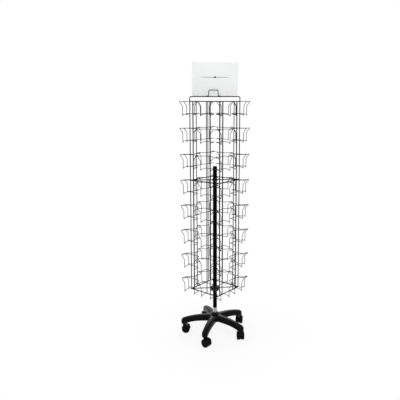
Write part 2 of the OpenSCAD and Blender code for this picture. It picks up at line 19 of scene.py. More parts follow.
import bpy
import numpy as np
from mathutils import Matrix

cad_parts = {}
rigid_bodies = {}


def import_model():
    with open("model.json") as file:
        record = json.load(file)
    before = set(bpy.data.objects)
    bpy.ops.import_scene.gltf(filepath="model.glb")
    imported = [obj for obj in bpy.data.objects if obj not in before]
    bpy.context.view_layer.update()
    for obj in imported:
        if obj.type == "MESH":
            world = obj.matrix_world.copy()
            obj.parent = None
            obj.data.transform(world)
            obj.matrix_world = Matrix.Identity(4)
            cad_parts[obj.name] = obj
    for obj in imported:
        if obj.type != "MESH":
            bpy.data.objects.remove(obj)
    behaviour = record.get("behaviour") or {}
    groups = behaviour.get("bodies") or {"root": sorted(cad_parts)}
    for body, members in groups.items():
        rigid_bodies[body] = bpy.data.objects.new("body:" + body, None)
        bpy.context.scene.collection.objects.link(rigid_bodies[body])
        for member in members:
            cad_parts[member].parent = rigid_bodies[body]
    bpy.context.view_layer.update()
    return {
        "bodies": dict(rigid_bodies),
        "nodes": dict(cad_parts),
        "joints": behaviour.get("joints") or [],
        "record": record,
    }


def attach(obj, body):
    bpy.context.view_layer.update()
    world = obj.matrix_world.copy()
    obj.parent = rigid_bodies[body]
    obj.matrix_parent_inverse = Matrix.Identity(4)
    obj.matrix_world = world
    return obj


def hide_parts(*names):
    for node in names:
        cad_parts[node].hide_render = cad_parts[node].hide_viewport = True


LOG = logging.getLogger("card_stand")
MM = 0.001
Sizes = tuple[float, ...]
Pair = tuple[float, float]
Triple = tuple[float, float, float]


class Slot(str, Enum):
    """Material slots of the stand's record."""

    WIRE = "black_wire"
    TUBE = "black_tube"
    PLUG = "black_plug"
    CHROME = "chrome"
    DARK_STEEL = "dark_steel"
    PLAIN_STEEL = "plain_steel"
    NYLON = "nylon_base"
    HOOD = "caster_hood"
    WHEEL = "caster_wheel"
    GREY_BUSH = "grey_bush"
    WHITE_BUSH = "white_bush"
    SIGN = "sign_board"


# Shells: plain arrays of points and faces


@dataclass
class Shell:
    """Closed surfaces. Each block of faces holds faces with the same number of corners."""

    points: np.ndarray
    faces: list[np.ndarray]

    def moved(self, matrix: np.ndarray) -> Shell:
        """Return the shell carried by a 4 by 4 matrix."""
        return Shell(self.points @ matrix[:3, :3].T + matrix[:3, 3], self.faces)

    def flipped(self) -> Shell:
        """Return the shell with its faces turned over."""
        return Shell(self.points, [block[:, ::-1] for block in self.faces])


def joined(shells: Iterable[Shell]) -> Shell:
    """Put several shells into one."""
    points, faces, start = [], [], 0
    for shell in shells:
        points.append(shell.points)
        faces.extend(block + start for block in shell.faces)
        start += len(shell.points)
    return Shell(np.concatenate(points), faces)


def turn_z(degrees: float) -> np.ndarray:
    """Return the 4 by 4 matrix of a turn about Z."""
    c, s = math.cos(math.radians(degrees)), math.sin(math.radians(degrees))
    return np.array([[c, -s, 0, 0], [s, c, 0, 0], [0, 0, 1, 0], [0, 0, 0, 1.0]])


def shift(x: float, y: float, z: float) -> np.ndarray:
    """Return the 4 by 4 matrix of a move."""
    matrix = np.eye(4)
    matrix[:3, 3] = x, y, z
    return matrix


def unit(v: np.ndarray) -> np.ndarray:
    """Return vectors scaled to length one."""
    return v / np.linalg.norm(v, axis=-1, keepdims=True)


def loft(rings: np.ndarray, closed: bool = False) -> Shell:
    """Skin over rings of points, each ring joined to the next.

    Where the last ring doesn't join the first, both ends get a flat cap.
    """
    count, sides = rings.shape[:2]
    index = np.arange(count * sides).reshape(count, sides)
    following = np.roll(index, -1, axis=0)
    low, high = (index, following) if closed else (index[:-1], index[1:])
    quads = np.stack([low, np.roll(low, -1, 1), np.roll(high, -1, 1), high], -1).reshape(-1, 4)
    faces = [quads]
    if not closed:
        faces += [index[:1, ::-1], index[-1:]]
    return Shell(rings.reshape(-1, 3), faces)


LEAST_BEND = 1e-3  # turn below which a corner stays as it is, in radians
BEND_SHARE = 0.46  # most of a side that one bend may take up


def rounded_path(corners: np.ndarray, radii: Sequence[float], steps: int = 6) -> np.ndarray:
    """Replace each inner corner of a path by an arc that touches both its sides.

    An arc of radius r at a turn of angle t starts r tan(t / 2) before the corner, and is the
    spherical mean of the spokes to its two ends. A radius is cut down where a side is short.
    """
    legs = np.diff(corners, axis=0)
    lengths = np.linalg.norm(legs, axis=1)
    ways = legs / lengths[:, None]
    parts = [corners[:1]]
    for k, radius in enumerate(radii):
        before, after, corner = ways[k], ways[k + 1], corners[k + 1]
        angle = math.acos(float(np.clip(before @ after, -1, 1)))
        if angle < LEAST_BEND:
            parts.append(corner[None])
            continue
        half = math.tan(angle / 2)
        reach = min(radius * half, BEND_SHARE * min(lengths[k], lengths[k + 1]))
        centre = corner + unit(after - before) * reach / half / math.cos(angle / 2)
        first, last = corner - before * reach - centre, corner + after * reach - centre
        t = np.linspace(0, 1, steps)[:, None]
        arc = np.sin((1 - t) * angle) * first + np.sin(t * angle) * last
        parts.append(centre + arc / math.sin(angle))
    parts.append(corners[-1:])
    return np.concatenate(parts)


SLANT = (1.0, 0.8, 1.3)  # direction that no wire of the stand runs in
END_CHAMFER = 0.3  # chamfer of a wire's cut end, as a share of its radius


def wire(path: np.ndarray, radius: float, sides: int = 10, closed: bool = False) -> Shell:
    """Circle carried along a path, with its cut ends chamfered unless the path is a closed loop.

    Each ring lies across the mean of the directions before and after its point. Its two axes
    are cross products with one fixed slanting direction, so that they turn slowly along any
    wire that never runs that way.
    """
    if closed:
        ways = unit(np.roll(path, -1, 0) - path)
        along = unit(ways + np.roll(ways, 1, 0))
        sizes = np.full(len(path), radius)
    else:
        ways = unit(np.diff(path, axis=0))
        chamfer = END_CHAMFER * radius
        path = np.concatenate([path[:1], path[:1] + chamfer * ways[0], path[1:-1],
                               path[-1:] - chamfer * ways[-1], path[-1:]])
        ways = unit(np.diff(path, axis=0))
        along = unit(np.concatenate([ways[:1], ways[:-1] + ways[1:], ways[-1:]]))
        sizes = np.full(len(path), radius)
        sizes[[0, -1]] = (1 - END_CHAMFER) * radius
    a = unit(np.cross(along, unit(np.array(SLANT))))
    b = np.cross(along, a)
    angle = 2 * np.pi * (np.arange(sides) + 0.5) / sides
    spokes = np.cos(angle)[None, :, None] * a[:, None] + np.sin(angle)[None, :, None] * b[:, None]
    return loft(path[:, None] + sizes[:, None, None] * spokes, closed)


def turned(profile: np.ndarray, sides: int = 64, closed: bool = False) -> Shell:
    """Profile of radii and heights carried round the Z axis.

    The ends of an open profile are closed by flat discs. A closed one is a loop off the axis.
    """
    angle = 2 * np.pi * np.arange(sides) / sides
    radius = np.maximum(profile[:, 0], 0.0)[:, None]
    height = np.broadcast_to(profile[:, 1:], (len(profile), sides))
    return loft(np.stack([radius * np.cos(angle), radius * np.sin(angle), height], -1), closed)


def eased(profile: Sequence[Pair], radius: float, closed: bool = False, steps: int = 4) -> np.ndarray:
    """Round every corner of a profile by one radius, with so many points on each."""
    flat = np.array(profile, float)
    if closed:
        start = (flat[:1] + flat[-1:]) / 2
        flat = np.concatenate([start, flat, start])
    corners = np.column_stack([flat, np.zeros(len(flat))])
    bent = rounded_path(corners, [radius] * (len(flat) - 2), steps)[:, :2]
    return bent[:-1] if closed else bent


def tube(inner: float, outer: float, low: float, high: float, ease: float = 0.5,
         sides: int = 64) -> Shell:
    """Return a plain ring about Z with eased edges."""
    loop = [(outer, low), (outer, high), (inner, high), (inner, low)]
    return turned(eased(loop, ease, closed=True), sides, closed=True)


def rod(radius: float, low: float, high: float, ease: float = 0.5, sides: int = 48) -> Shell:
    """Return a plain rod about Z with eased edges."""
    inset = 0.4 * radius
    profile = [(inset, low), (radius, low), (radius, high), (inset, high)]
    return turned(eased(profile, ease), sides)


def blobs(centres: np.ndarray, radius: float, sides: int = 8, rows: int = 4) -> Shell:
    """One small ball at each centre, as for beads of weld, with so many rows between its poles."""
    tilt = np.pi * np.arange(1, rows + 1) / (rows + 1)
    angle = 2 * np.pi * np.arange(sides) / sides
    height = np.broadcast_to(np.cos(tilt)[:, None], (rows, sides))
    ball = np.stack([np.sin(tilt)[:, None] * np.cos(angle), np.sin(tilt)[:, None] * np.sin(angle),
                     height], -1).reshape(-1, 3)
    ball = radius * np.concatenate([ball, [[0, 0, 1], [0, 0, -1]]])
    index = np.arange(rows * sides).reshape(rows, sides)
    upper, lower = index[:-1], index[1:]
    quads = np.stack([upper, lower, np.roll(lower, -1, 1), np.roll(upper, -1, 1)], -1)
    poles = [np.full(sides, rows * sides + end) for end in (0, 1)]
    top = np.stack([index[0], np.roll(index[0], -1), poles[0]], -1)
    foot = np.stack([np.roll(index[-1], -1), index[-1], poles[1]], -1)
    offsets = (np.arange(len(centres)) * len(ball))[:, None, None]
    points = (centres[:, None] + ball[None]).reshape(-1, 3)
    return Shell(points, [(quads.reshape(1, -1, 4) + offsets).reshape(-1, 4),
                          (np.concatenate([top, foot])[None] + offsets).reshape(-1, 3)])


SLIDES = 4  # times that points slide onto the surface
PROBE = 0.02  # distance at which a slope is measured, in cells
LEAST_SLOPE = 0.05  # least squared slope that a slide reckons with
LONGEST_SLIDE = 0.5  # in cells


def level_surface(depth: Callable[[np.ndarray], np.ndarray], low: np.ndarray, high: np.ndarray,
                  cell: float) -> Shell:
    """Closed surface on which a field is zero, with the inside where it is negative.

    Every grid cell that the surface crosses gets one point, the mean of the crossings on its
    edges, and every grid edge that is crossed gets a face through the four cells around it.
    The points then slide along the field's gradient onto the surface. The grid runs from its
    low to its high corner and has to reach past the surface on all sides.
    """
    grid = np.stack(np.meshgrid(*[np.arange(a, b + cell, cell) for a, b in zip(low, high)],
                                indexing="ij"), -1)
    value = depth(grid)
    inside = value < 0
    cells = tuple(n - 1 for n in value.shape)

    def corner(array: np.ndarray, offset: Sequence[int]) -> np.ndarray:
        """Return an array's values at one corner of every cell."""
        return array[tuple(slice(o, o + n) for o, n in zip(offset, cells))]

    offsets = [(i, j, k) for i in (0, 1) for j in (0, 1) for k in (0, 1)]
    filled = sum(corner(inside, o).astype(np.int8) for o in offsets)
    crossed = (filled > 0) & (filled < len(offsets))
    total = np.zeros((int(crossed.sum()), 3))
    hits = np.zeros(len(total))
    for a in offsets:
        for axis in (n for n in range(3) if not a[n]):
            b = tuple(o + (axis == n) for n, o in enumerate(a))
            va, vb = corner(value, a)[crossed], corner(value, b)[crossed]
            pa, pb = corner(grid, a)[crossed], corner(grid, b)[crossed]
            cuts = (va < 0) != (vb < 0)
            share = np.where(cuts, va / np.where(cuts, va - vb, 1.0), 0.0)
            total += cuts[:, None] * (pa + share[:, None] * (pb - pa))
            hits += cuts
    points = total / hits[:, None]
    index = np.full(cells, -1)
    index[crossed] = np.arange(len(points))
    faces = []
    for axis in range(3):
        u, v = [n for n in range(3) if n != axis]
        near = [slice(1, -1)] * 3
        near[axis] = slice(0, -1)
        far = list(near)
        far[axis] = slice(1, None)
        starts, ends = inside[tuple(near)], inside[tuple(far)]
        around = []
        for du, dv in ((-1, -1), (0, -1), (0, 0), (-1, 0)):
            pick = [slice(None)] * 3
            pick[u] = slice(1 + du, cells[u] + du)
            pick[v] = slice(1 + dv, cells[v] + dv)
            around.append(index[tuple(pick)])
        quads = np.stack(around, -1)
        outward, inward = starts & ~ends, ends & ~starts
        if axis == 1:
            outward, inward = inward, outward
        faces += [quads[outward], quads[inward][:, ::-1]]
    step = PROBE * cell
    for _ in range(SLIDES):
        slope = np.stack([(depth(points + step * e) - depth(points - step * e)) / (2 * step)
                          for e in np.eye(3)], -1)
        steepness = np.maximum((slope ** 2).sum(-1, keepdims=True), LEAST_SLOPE)
        move = -depth(points)[:, None] * slope / steepness
        length = np.maximum(np.linalg.norm(move, axis=-1, keepdims=True), 1e-12)
        points = points + move * np.minimum(1.0, LONGEST_SLIDE * cell / length)
    return Shell(points, [np.concatenate(faces)])


# Finishes


class Graph:
    """Nodes of a material or of the world, with short ways to add and link them."""

    def __init__(self, owner: bpy.types.Material | bpy.types.World) -> None:
        """Take up the nodes of a new material or world."""
        owner.use_nodes = True
        self.tree = owner.node_tree

    def first(self, kind: str) -> bpy.types.Node:
        """Return the node of a kind that was there from the start."""
        return next(node for node in self.tree.nodes if node.type == kind)

    @cached_property
    def place(self) -> bpy.types.NodeSocket:
        """The piece's own coordinates."""
        return self.node("ShaderNodeTexCoord").outputs["Object"]

    def node(self, kind: str, **settings: object) -> bpy.types.Node:
        """Add a node and give its properties their values."""
        made = self.tree.nodes.new(kind)
        for key, value in settings.items():
            setattr(made, key, value)
        return made

    def feed(self, socket: bpy.types.NodeSocket, value: object) -> None:
        """Link a socket to another, or give it a plain value."""
        if isinstance(value, bpy.types.NodeSocket):
            self.tree.links.new(value, socket)
        else:
            socket.default_value = value

    def stretched(self, scale: Triple) -> bpy.types.NodeSocket:
        """Return the piece's own coordinates, scaled along each axis."""
        made = self.node("ShaderNodeMapping")
        self.feed(made.inputs["Vector"], self.place)
        made.inputs["Scale"].default_value = scale
        return made.outputs["Vector"]

    def noise(self, scale: float, detail: float, place: bpy.types.NodeSocket) -> bpy.types.NodeSocket:
        """Return a noise of so many cells a metre."""
        made = self.node("ShaderNodeTexNoise")
        self.feed(made.inputs["Vector"], place)
        made.inputs["Scale"].default_value = scale
        made.inputs["Detail"].default_value = detail
        return made.outputs["Fac"]

    def ranged(self, value: bpy.types.NodeSocket, start: float, end: float, low: float,
               high: float) -> bpy.types.NodeSocket:
        """Carry values between start and end over to the range from low to high."""
        made = self.node("ShaderNodeMapRange")
        sockets = ("Value", "From Min", "From Max", "To Min", "To Max")
        for name, item in zip(sockets, (value, start, end, low, high)):
            self.feed(made.inputs[name], item)
        return made.outputs["Result"]

    def mixed(self, share: object, first: object, second: object) -> bpy.types.NodeSocket:
        """Mix two colours."""
        made = self.node("ShaderNodeMix", data_type="RGBA")
        for index, item in ((0, share), (6, first), (7, second)):
            self.feed(made.inputs[index], item)
        return made.outputs[2]

    def combined(self, operation: str, first: object, second: object) -> bpy.types.NodeSocket:
        """Return the sum, product or greater of two values."""
        made = self.node("ShaderNodeMath", operation=operation)
        self.feed(made.inputs[0], first)
        self.feed(made.inputs[1], second)
        return made.outputs[0]


def grey(value: float, tint: float = 0.0) -> tuple[float, float, float, float]:
    """Return a grey, with its blue raised and its red lowered by a share of it."""
    return (value * (1 - tint), value, value * (1 + tint), 1.0)


@dataclass(frozen=True)
class Finish:
    """A surface: two tones that drift into one another, an uneven gloss and a fine relief.

    Scales are cells a metre and the relief's depth is in metres. The spans are the parts of a
    noise, or of an edge's sharpness, over which a change runs its course.
    """

    slot: Slot
    tone: float
    second_tone: float
    roughness: float
    roughness_spread: float = 0.06
    tint: float = 0.02
    metallic: float = 0.0
    specular: float = 0.5
    drift_scale: float = 14.0
    drift_detail: float = 4.0
    drift_span: Pair = (0.35, 0.65)
    relief_scale: float = 900.0
    relief_depth: float = 0.00004
    relief_detail: float = 2.0
    gloss_span: Pair = (0.3, 0.7)
    stretch: Triple = (1.0, 1.0, 1.0)
    rubbed: float = 0.0
    rubbed_span: Pair = (0.51, 0.58)

    def material(self) -> bpy.types.Material:
        """Return the finish's material."""
        made = bpy.data.materials.new(self.slot.value)
        graph = Graph(made)
        shader = graph.first("BSDF_PRINCIPLED")
        place = graph.stretched(self.stretch)
        fine = graph.noise(self.relief_scale, self.relief_detail, place)
        drift = graph.noise(self.drift_scale, self.drift_detail, place)
        share = graph.ranged(drift, *self.drift_span, 0.0, 1.0)
        # On chrome, this mix of the two tones paints dark vertical streaks into the colour: a painted
        # reflection
        colour = graph.mixed(share, grey(self.tone, self.tint), grey(self.second_tone, self.tint))
        if self.rubbed:
            edge = graph.node("ShaderNodeNewGeometry").outputs["Pointiness"]
            worn = graph.ranged(edge, *self.rubbed_span, 0.0, 1.0)
            colour = graph.mixed(worn, colour, grey(self.rubbed, self.tint))
        graph.feed(shader.inputs["Base Color"], colour)
        cloudy = graph.combined("ADD", graph.ranged(fine, *self.gloss_span, 0.0, 0.5),
                                graph.ranged(drift, *self.gloss_span, 0.0, 0.5))
        low, high = self.roughness - self.roughness_spread, self.roughness + self.roughness_spread
        graph.feed(shader.inputs["Roughness"], graph.ranged(cloudy, 0.0, 1.0, low, high))
        shader.inputs["Metallic"].default_value = self.metallic
        shader.inputs["Specular IOR Level"].default_value = self.specular
        relief = graph.node("ShaderNodeBump")
        relief.inputs["Strength"].default_value = 1.0
        relief.inputs["Distance"].default_value = self.relief_depth
        graph.feed(relief.inputs["Height"], fine)
        graph.feed(shader.inputs["Normal"], relief.outputs["Normal"])
        return made


class Look(Enum):
    """The finishes of the stand."""

    POWDER = Finish(Slot.WIRE, 0.003, 0.0045, 0.40, specular=0.06, relief_scale=1400.0,
                    relief_depth=0.00003)
    POLE = Finish(Slot.TUBE, 0.001, 0.0016, 0.42, specular=0.02, relief_scale=1100.0,
                  relief_depth=0.00002)
    PLUG = Finish(Slot.PLUG, 0.006, 0.008, 0.50, specular=0.18, relief_scale=2200.0)
    # Chrome: the dark second tone, drawn out along Z into vertical streaks, is a painted reflection of
    # dark surroundings
    CHROME = Finish(Slot.CHROME, 0.70, 0.24, 0.14, 0.05, metallic=1.0, drift_scale=150.0,
                    relief_scale=420.0, relief_depth=0.00002, stretch=(1.0, 1.0, 0.03))
    DARK_STEEL = Finish(Slot.DARK_STEEL, 0.003, 0.005, 0.42, specular=0.08, relief_scale=1600.0)
    ZINC = Finish(Slot.PLAIN_STEEL, 0.52, 0.44, 0.30, 0.10, metallic=1.0, drift_scale=60.0,
                  relief_scale=2600.0, relief_depth=0.00002)
    NYLON = Finish(Slot.NYLON, 0.001, 0.0018, 0.30, 0.07, specular=0.08, drift_scale=9.0,
                   relief_scale=2400.0, relief_depth=0.00007, relief_detail=3.0, rubbed=0.006)
    HOOD = Finish(Slot.HOOD, 0.001, 0.0016, 0.32, 0.06, specular=0.05, relief_scale=2600.0,
                  relief_depth=0.00004, rubbed=0.006)
    TREAD = Finish(Slot.WHEEL, 0.001, 0.002, 0.44, 0.10, specular=0.05, drift_scale=45.0,
                   relief_scale=1800.0, relief_depth=0.00006, rubbed=0.008)
    GREY_BUSH = Finish(Slot.GREY_BUSH, 0.030, 0.036, 0.46, relief_scale=2400.0)
    WHITE_BUSH = Finish(Slot.WHITE_BUSH, 0.78, 0.70, 0.44, tint=-0.02, relief_scale=2400.0)
    BOARD = Finish(Slot.SIGN, 0.778, 0.765, 0.60, specular=0.3, tint=0.004, drift_scale=6.0,
                   relief_scale=3200.0, relief_depth=0.00003)
    INK = Finish(Slot.SIGN, 0.055, 0.085, 0.60, specular=0.3, drift_scale=80.0,
                 relief_scale=3200.0, relief_depth=0.00002)


@dataclass
class Workshop:
    """Turns shells into finished pieces and sets them into the frame."""

    frame: dict
    materials: dict[Look, bpy.types.Material] = field(default_factory=dict)

    def body_of(self, node: str) -> str:
        """Return the body that a node rides on."""
        groups = self.frame["record"]["behaviour"]["bodies"]
        return next(body for body, nodes in groups.items() if node in nodes)

    def material(self, look: Look) -> bpy.types.Material:
        """Return a look's material, made once."""
        if look not in self.materials:
            self.materials[look] = look.value.material()
        return self.materials[look]

    def model(self, name: str, shell: Shell, look: Look, crease: float) -> bpy.types.Object:
        """Make an object from a shell in millimetres, with edges sharp past the crease's angle."""
        mesh = bpy.data.meshes.new(name)
        counts = np.concatenate([np.full(len(block), block.shape[1]) for block in shell.faces])
        corners = np.concatenate([block.ravel() for block in shell.faces])
        mesh.vertices.add(len(shell.points))
        mesh.vertices.foreach_set("co", (shell.points * MM).ravel())
        mesh.loops.add(len(corners))
        mesh.loops.foreach_set("vertex_index", corners)
        mesh.polygons.add(len(counts))
        mesh.polygons.foreach_set("loop_start", np.concatenate([[0], np.cumsum(counts)[:-1]]))
        mesh.polygons.foreach_set("use_smooth", np.ones(len(counts), bool))
        mesh.update(calc_edges=True)
        mesh.validate()
        mesh.set_sharp_from_angle(angle=math.radians(crease))
        mesh.materials.append(self.material(look))
        piece = bpy.data.objects.new(name, mesh)
        bpy.context.scene.collection.objects.link(piece)
        LOG.info("%s: %d faces", name, len(counts))
        return piece

    def place(self, name: str, shell: Shell, look: Look, *nodes: str, body: str | None = None,
              crease: float = 38.0) -> None:
        """Make one piece and set it into the frame.

        It takes the place of the nodes and rides on their body, or on the body given.
        """
        piece = self.model(name, shell, look, crease)
        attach(piece, body or self.body_of(nodes[0]))
        if nodes:
            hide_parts(*nodes)


# The wire column


@dataclass
class WireColumn:
    """Square column of welded wire, with its rings, uprights, spokes and the sign's hoop.

    A place on a face is the distance along it from its first corner, and then outwards and up.
    """

    side: float = 230.0
    ring_r: float = 3.0
    ring_bend: float = 11.81
    spoke_r: float = 3.0
    spoke_end: float = 157.6
    spoke_starts: Pair = (29.6, 16.6)
    spoke_bead: float = 0.8
    upright_r: Pair = (3.0, 2.75)
    upright_s: Sizes = (24.5, 169.0)
    spare_s: tuple[Sizes, Sizes] = ((140.0,), (51.0, 200.0))
    upright_inset: float = 2.2
    upright_bead: float = 0.7
    bead_lift: float = 0.6
    bottom_z: float = 335.0
    middle_z: float = 1100.5
    top_z: float = 1613.5
    post_diagonal: float = 163.34
    post_bead_r: float = 3.1
    post_bead_step: float = 2.0
    hoop_r: float = 3.1
    hoop_top: float = 1647.0
    hoop_bend: float = 9.0
    clip_r: float = 2.1
    clip_out: float = 3.6
    clip_foot_z: float = 1647.0
    clip_half: Pair = (32.0, 29.5)
    clip_foot: float = 17.0
    clip_place: float = -10.0
    clip_top: float = 1685.5
    clip_bends: Pair = (3.0, 6.5)
    clip_bead_r: float = 2.4
    clip_bead_in: float = 1.2
    clip_bead_drop: float = 1.0
    clip_bead_step: float = 2.5
    clip_beads: int = 6

    def ring(self, z: float) -> Shell:
        """Return a square ring with bent corners: a wire along a square whose corners are arcs."""
        arc = np.radians(np.linspace(0, 90, 9))
        centre = self.side / 2 - self.ring_bend
        corner = np.stack([centre + self.ring_bend * np.cos(arc),
                           centre + self.ring_bend * np.sin(arc), np.zeros(len(arc))], -1)
        path = np.concatenate([corner @ turn_z(90 * k)[:3, :3].T for k in range(4)])
        return wire(path + [0, 0, z], self.ring_r, 14, closed=True)

    def face_points(self, face: int, places: np.ndarray) -> np.ndarray:
        """Carry places on a face into the column."""
        half = self.side / 2
        flat = np.stack([places[..., 0] - half, -places[..., 1] - half, places[..., 2]], -1)
        return flat @ turn_z(90 * face)[:3, :3].T

    def upright_places(self, face: int) -> Sizes:
        """Return where the uprights of a face stand along it."""
        return (*self.upright_s, *self.spare_s[face % 2])

    def uprights(self, radius: float, low: float, high: float) -> Shell:
        """Return the uprights between two rings, flush with them, with a weld at each end."""
        out, inset, lift = self.ring_r - radius, self.upright_inset, self.bead_lift
        shells = []
        for face in range(4):
            for s in self.upright_places(face):
                ends = self.face_points(face, np.array([[s, out, low + inset], [s, out, high - inset]]))
                shells.append(wire(ends, radius, 12))
                shells.append(blobs(ends + [[0, 0, lift], [0, 0, -lift]], radius + self.upright_bead))
        return joined(shells)

    def spokes(self, z: float, start: float) -> Shell:
        """Return four spokes along the diagonals, from a hub to a ring's corners."""
        path = np.array([[start, 0, z], [self.spoke_end, 0, z]])
        spoke = joined([wire(path, self.spoke_r, 12), blobs(path, self.spoke_r + self.spoke_bead)])
        return joined(spoke.moved(turn_z(turn)) for turn in range(45, 405, 90))

    def hoop(self) -> Shell:
        """Return the hoop that carries the sign: two posts and a bar, bent from one wire."""
        reach, foot, bar = self.post_diagonal, self.bottom_z - self.ring_r, self.hoop_top - self.hoop_r
        path = np.array([[-reach, 0, foot], [-reach, 0, bar], [reach, 0, bar], [reach, 0, foot]])
        bent = wire(rounded_path(path, [self.hoop_bend] * 2, 9), self.hoop_r, 14)
        step = self.post_bead_step
        touches = [[side * (reach - step), 0, z + lift] for side in (-1, 1)
                   for z in (self.bottom_z, self.middle_z, self.top_z) for lift in (-step, step)]
        return joined([bent, blobs(np.array(touches), self.post_bead_r)]).moved(turn_z(45))

    def clips(self) -> Shell:
        """Return the two clips that hold the sign: each a wire bent to a tall loop with two feet."""
        foot, top = self.clip_half
        out, low = self.clip_out, self.clip_foot_z
        half = [[foot + self.clip_foot, out, low], [foot, out, low], [top, out, self.clip_top]]
        path = np.array(half + [[-u, n, z] for u, n, z in reversed(half)])
        bends = [*self.clip_bends, *reversed(self.clip_bends)]
        bent = wire(rounded_path(path, bends, 7), self.clip_r, 12)
        places = self.clip_bead_step * np.arange(1, self.clip_beads + 1)
        feet = [[side * (foot + along), out - self.clip_bead_in, low - self.clip_bead_drop]
                for side in (-1, 1) for along in places]
        clip = joined([bent, blobs(np.array(feet), self.clip_bead_r)])
        along_bar = turn_z(45) @ shift(self.clip_place, 0, 0)
        return joined([clip.moved(along_bar), clip.moved(along_bar @ turn_z(180))])

    def build(self, shop: Workshop) -> None:
        """Make the column's own pieces."""
        bottom, middle, top = self.bottom_z, self.middle_z, self.top_z
        thick, thin = self.upright_r
        low_start, middle_start = self.spoke_starts
        for name, shell, node in (
                ("bottom_ring_wire", self.ring(bottom), "bottom_ring"),
                ("middle_ring_wire", self.ring(middle), "middle_ring"),
                ("top_ring_wire", self.ring(top), "top_ring"),
                ("lower_upright_wires", self.uprights(thick, bottom, middle), "lower_uprights"),
                ("upper_upright_wires", self.uprights(thin, middle, top), "upper_uprights"),
                ("bottom_spoke_wires", self.spokes(bottom, low_start), "bottom_spokes"),
                ("middle_spoke_wires", self.spokes(middle, middle_start), "mid_spokes"),
                ("sign_hoop_wire", self.hoop(), "sign_hoop"),
                ("sign_clip_wires", self.clips(), "sign_clips")):
            shop.place(name, shell, Look.POWDER, node)


@dataclass
class PocketTier:
    """Eight card pockets round the column, two to a face, bent from saddle wires and rim wires.

    Heights are from the rims. The hook holds places outwards and up, at the foot of each leg.
    """

    column: WireColumn
    wire_r: float = 1.9
    face_p: float = 4.7
    depth: float = 48.0
    rail_z: float = -78.0
    lean_z: float = -29.0
    legs: Sizes = (-21.0, 67.5, 131.0, 209.5)
    tips: Sizes = (-48.5, 95.0, 103.5, 237.0)
    rim_bends: Sizes = (-24.0, 73.0, 122.0, 195.0)
    hook: tuple[Pair, ...] = ((40.0, -82.5), (45.9, -89.7), (48.0, -87.2))
    leg_bends: Sizes = (4.0, 3.0, 1.3, 3.0, 9.0)
    tip_bend: float = 7.5
    rim_bend: float = 6.0
    rim_gap: float = 2.4
    tip_bead: float = 0.55
    tip_sink: float = 0.6
    weld_bead: float = 0.8
    weld_in: float = 1.6
    pitch: float = 171.5
    count: int = 8

    def leg(self, leg: float, tip: float) -> list[list[float]]:
        """Return a leg's corners: out along the floor, round the hook and up to its tip."""
        floor = [[leg, self.face_p, self.rail_z]] + [[leg, p, z] for p, z in self.hook]
        return floor + [[leg, self.depth, self.lean_z], [tip, self.depth, 0.0]]

    def saddle(self, start: list[float], first: np.ndarray, second: np.ndarray,
               end: list[float]) -> Shell:
        """Return a wire from one upright up a leg, over to the next leg and down to an upright."""
        path = np.concatenate([[start], first, second[::-1], [end]])
        radii = [*self.leg_bends, self.tip_bend, self.tip_bend, *self.leg_bends[::-1]]
        return wire(rounded_path(path, radii, 5), self.wire_r, 8)

    def rim(self, first: int, second: int) -> Shell:
        """Return a pocket's back wire, from one leg's tip along the face to the other's."""
        pair = [first, second]
        inner = np.array([[self.rim_bends[k], self.face_p, 0.0] for k in pair])
        tips = np.array([[self.tips[k], self.depth, 0.0] for k in pair])
        ends = tips + self.rim_gap * unit(inner - tips)
        path = np.stack([ends[0], inner[0], inner[1], ends[1]])
        beads = blobs(ends - self.tip_sink * unit(inner - tips), self.wire_r + self.tip_bead, 7, 3)
        return joined([wire(rounded_path(path, [self.rim_bend] * 2, 6), self.wire_r, 8), beads])

    def welds(self, face: int) -> Shell:
        """Return the beads where a face's wires cross its uprights."""
        out = self.face_p - self.weld_in
        crossings = [[s, out, z] for s in self.column.upright_places(face)
                     for z in (self.rail_z, 0.0) if z < 0 or s < self.rim_bends[-1]]
        return blobs(np.array(crossings), self.wire_r + self.weld_bead, 7, 3)

    def build_tier(self) -> Shell:
        """Return one tier with its rims at height zero."""
        side = self.column.side
        first, second = self.column.upright_s
        legs = [np.array(self.leg(leg, tip)) for leg, tip in zip(self.legs, self.tips)]
        # The next face's first leg, seen from this face: what lay along lies outwards
        following = np.stack([side + legs[0][:, 1], -legs[0][:, 0], legs[0][:, 2]], -1)
        rail = [self.face_p, self.rail_z]
        corner = [side + self.face_p, -first, self.rail_z]
        wires = [self.saddle([first, *rail], legs[1], legs[2], [second, *rail]),
                 self.saddle([second, *rail], legs[3], following, corner),
                 self.rim(0, 1), self.rim(2, 3)]
        shells = []
        for face in range(4):
            for shell in [*wires, self.welds(face)]:
                shells.append(Shell(self.column.face_points(face, shell.points), shell.faces).flipped())
        return joined(shells)

    def build(self, shop: Workshop) -> None:
        """Make the eight tiers, from the top down."""
        tier = self.build_tier()
        for number in range(1, self.count + 1):
            z = self.column.top_z - (number - 1) * self.pitch
            shop.place(f"tier_{number}_wires", tier.moved(shift(0, 0, z)), Look.POWDER,
                       f"tier_{number}_pockets")


# The sign


